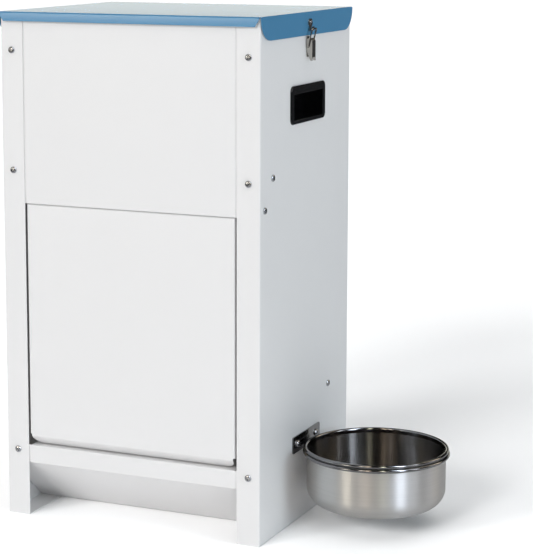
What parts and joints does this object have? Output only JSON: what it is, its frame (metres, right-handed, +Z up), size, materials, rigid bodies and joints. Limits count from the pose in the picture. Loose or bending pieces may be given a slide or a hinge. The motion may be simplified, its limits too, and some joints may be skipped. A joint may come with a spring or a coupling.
{
  "type": "gravity dog feeder",
  "caption": "Free-standing sheet-steel dry food hopper with a hinged latched lid, a swinging feed flap over a trough, recessed handles and a water bowl hung on one side.",
  "frame": {"origin": "Middle of the whole object's bounding box in plan, bowl and latches included, at the level of the floor that it stands on", "axes": "+Z up; -Y is the front, where the feed flap and trough are; +X is the side that carries the bowl"},
  "size_m": [0.5202, 0.291, 0.608],
  "materials": {
    "white_powder_coat": "white powder coat, fine texture, semi-gloss",
    "inner_powder_coat": "white powder coat, seen only from inside",
    "blue_powder_coat": "steel-blue powder coat, semi-gloss",
    "black_plastic": "moulded black plastic, glossy",
    "bowl_stainless": "spun stainless steel, brushed outside",
    "polished_stainless": "polished stainless steel",
    "plain_steel": "drawn steel, as made",
    "hinge_plate": "zinc-plated steel",
    "rivets": "dull aluminium",
    "latch_nickel": "nickel plate, bright",
    "zinc_fasteners": "bright zinc plate"
  },
  "bodies": {
    "cabinet": {"right_side_panel": "white_powder_coat", "left_side_panel": "white_powder_coat", "back_panel": "white_powder_coat", "upper_front_panel": "white_powder_coat", "trough": "white_powder_coat", "hopper_baffle": "inner_powder_coat", "flap_pivot_rod": "plain_steel", "flap_spacers": "plain_steel", "lid_hinge_body_leaves": "hinge_plate", "lid_hinge_pins": "plain_steel", "handle_right": "black_plastic", "handle_left": "black_plastic", "bowl_bracket": "polished_stainless", "bowl_ring": "polished_stainless", "latch_base_right": "latch_nickel", "latch_base_rivets_right": "rivets", "latch_pin_right": "plain_steel", "latch_base_left": "latch_nickel", "latch_base_rivets_left": "rivets", "latch_pin_left": "plain_steel", "front_screws": "zinc_fasteners", "front_nuts": "zinc_fasteners", "side_screws": "zinc_fasteners", "side_nuts": "zinc_fasteners", "back_screws": "zinc_fasteners", "back_nuts": "zinc_fasteners", "hinge_screws": "zinc_fasteners", "hinge_nuts": "zinc_fasteners", "bracket_screws": "zinc_fasteners", "bracket_nuts": "zinc_fasteners"},
    "lid": {"lid": "blue_powder_coat", "lid_hinge_lid_leaves": "hinge_plate", "lid_hinge_rivets": "rivets", "latch_catch_right": "latch_nickel", "latch_catch_rivet_right": "rivets", "latch_catch_left": "latch_nickel", "latch_catch_rivet_left": "rivets"},
    "flap": {"feed_flap": "white_powder_coat"},
    "latch_lever_right": {"latch_lever_right": "latch_nickel"},
    "latch_bail_right": {"latch_bail_right": "latch_nickel"},
    "latch_lever_left": {"latch_lever_left": "latch_nickel"},
    "latch_bail_left": {"latch_bail_left": "latch_nickel"},
    "bowl": {"bowl": "bowl_stainless"}
  },
  "joints": [
    {"name": "lid_hinge", "type": "hinge", "parent": "cabinet", "child": "lid", "pos_m": [0, 0.1425, 0.5934], "axis": [-1, 0, 0], "range_deg": [0, 110]},
    {"name": "flap_hinge", "type": "hinge", "parent": "cabinet", "child": "flap", "pos_m": [-0.08457, -0.1297, 0.39], "axis": [1, 0, 0], "range_deg": [0, 36]},
    {"name": "bowl_lift", "type": "slide", "parent": "cabinet", "child": "bowl", "axis": [0, 0, 1], "range_m": [0, 0.09]},
    {"name": "latch_lever_right_hinge", "type": "hinge", "parent": "cabinet", "child": "latch_lever_right", "pos_m": [0.08582, -0.0027, 0.574], "axis": [0, -1, 0], "range_deg": [0, 110]},
    {"name": "latch_bail_right_hinge", "type": "hinge", "parent": "latch_lever_right", "child": "latch_bail_right", "pos_m": [0.08482, -0.0027, 0.567], "axis": [0, -1, 0], "range_deg": [-140, 0]},
    {"name": "latch_lever_left_hinge", "type": "hinge", "parent": "cabinet", "child": "latch_lever_left", "pos_m": [-0.25498, -0.0027, 0.574], "axis": [0, 1, 0], "range_deg": [0, 110]},
    {"name": "latch_bail_left_hinge", "type": "hinge", "parent": "latch_lever_left", "child": "latch_bail_left", "pos_m": [-0.25398, -0.0027, 0.567], "axis": [0, 1, 0], "range_deg": [-140, 0]}
  ],
  "couplings": [
    {"joint": "latch_bail_right_hinge", "follows": "latch_lever_right_hinge", "ratio": -1.25},
    {"joint": "latch_bail_left_hinge", "follows": "latch_lever_left_hinge", "ratio": -1.25}
  ]
}
